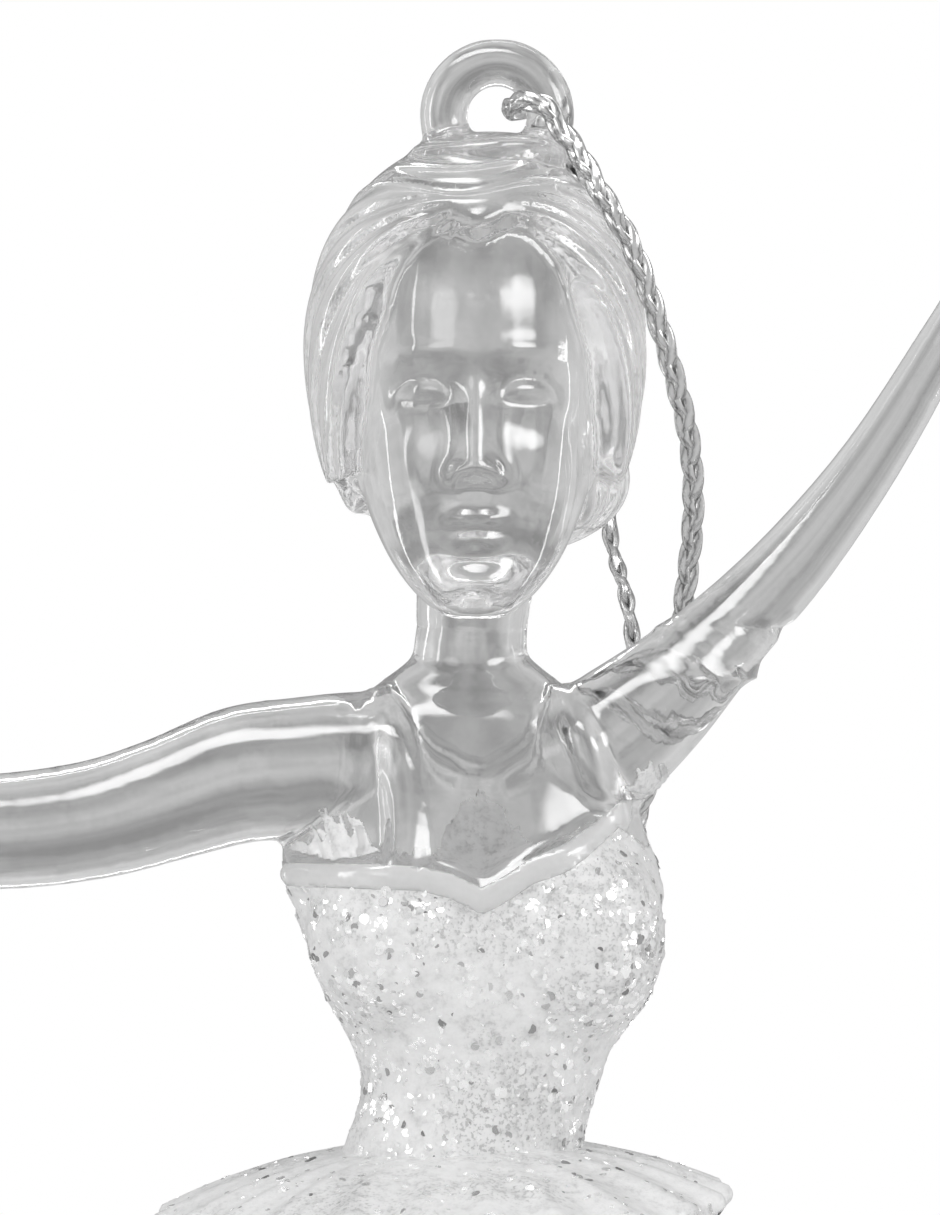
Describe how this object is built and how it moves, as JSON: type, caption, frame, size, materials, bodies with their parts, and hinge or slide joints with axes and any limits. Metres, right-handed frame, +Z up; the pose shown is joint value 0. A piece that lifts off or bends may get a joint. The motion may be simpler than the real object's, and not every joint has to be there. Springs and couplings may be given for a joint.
{
  "type": "ballerina hanging ornament",
  "caption": "Clear cast ballerina figure with arms spread, layered tutu and pointed feet, a moulded eyelet on the head and a knotted silver hanging cord.",
  "frame": {"origin": "middle of the eyelet's hole, by which the ornament hangs", "axes": "+Z up towards the top of the eyelet and along the figure; the figure looks along -Y; +X is to the viewer's right, the side of the raised arm"},
  "size_m": [0.075, 0.0295, 0.1365],
  "materials": {
    "clear_acrylic": "polished",
    "glitter_coat": "milky glaze full of small silver flakes",
    "silver_cord": "braided metallic thread"
  },
  "bodies": {
    "root": {"figure": "clear_acrylic", "hanging_cord": "silver_cord", "cord_knot": "silver_cord"}
  },
  "joints": []
}
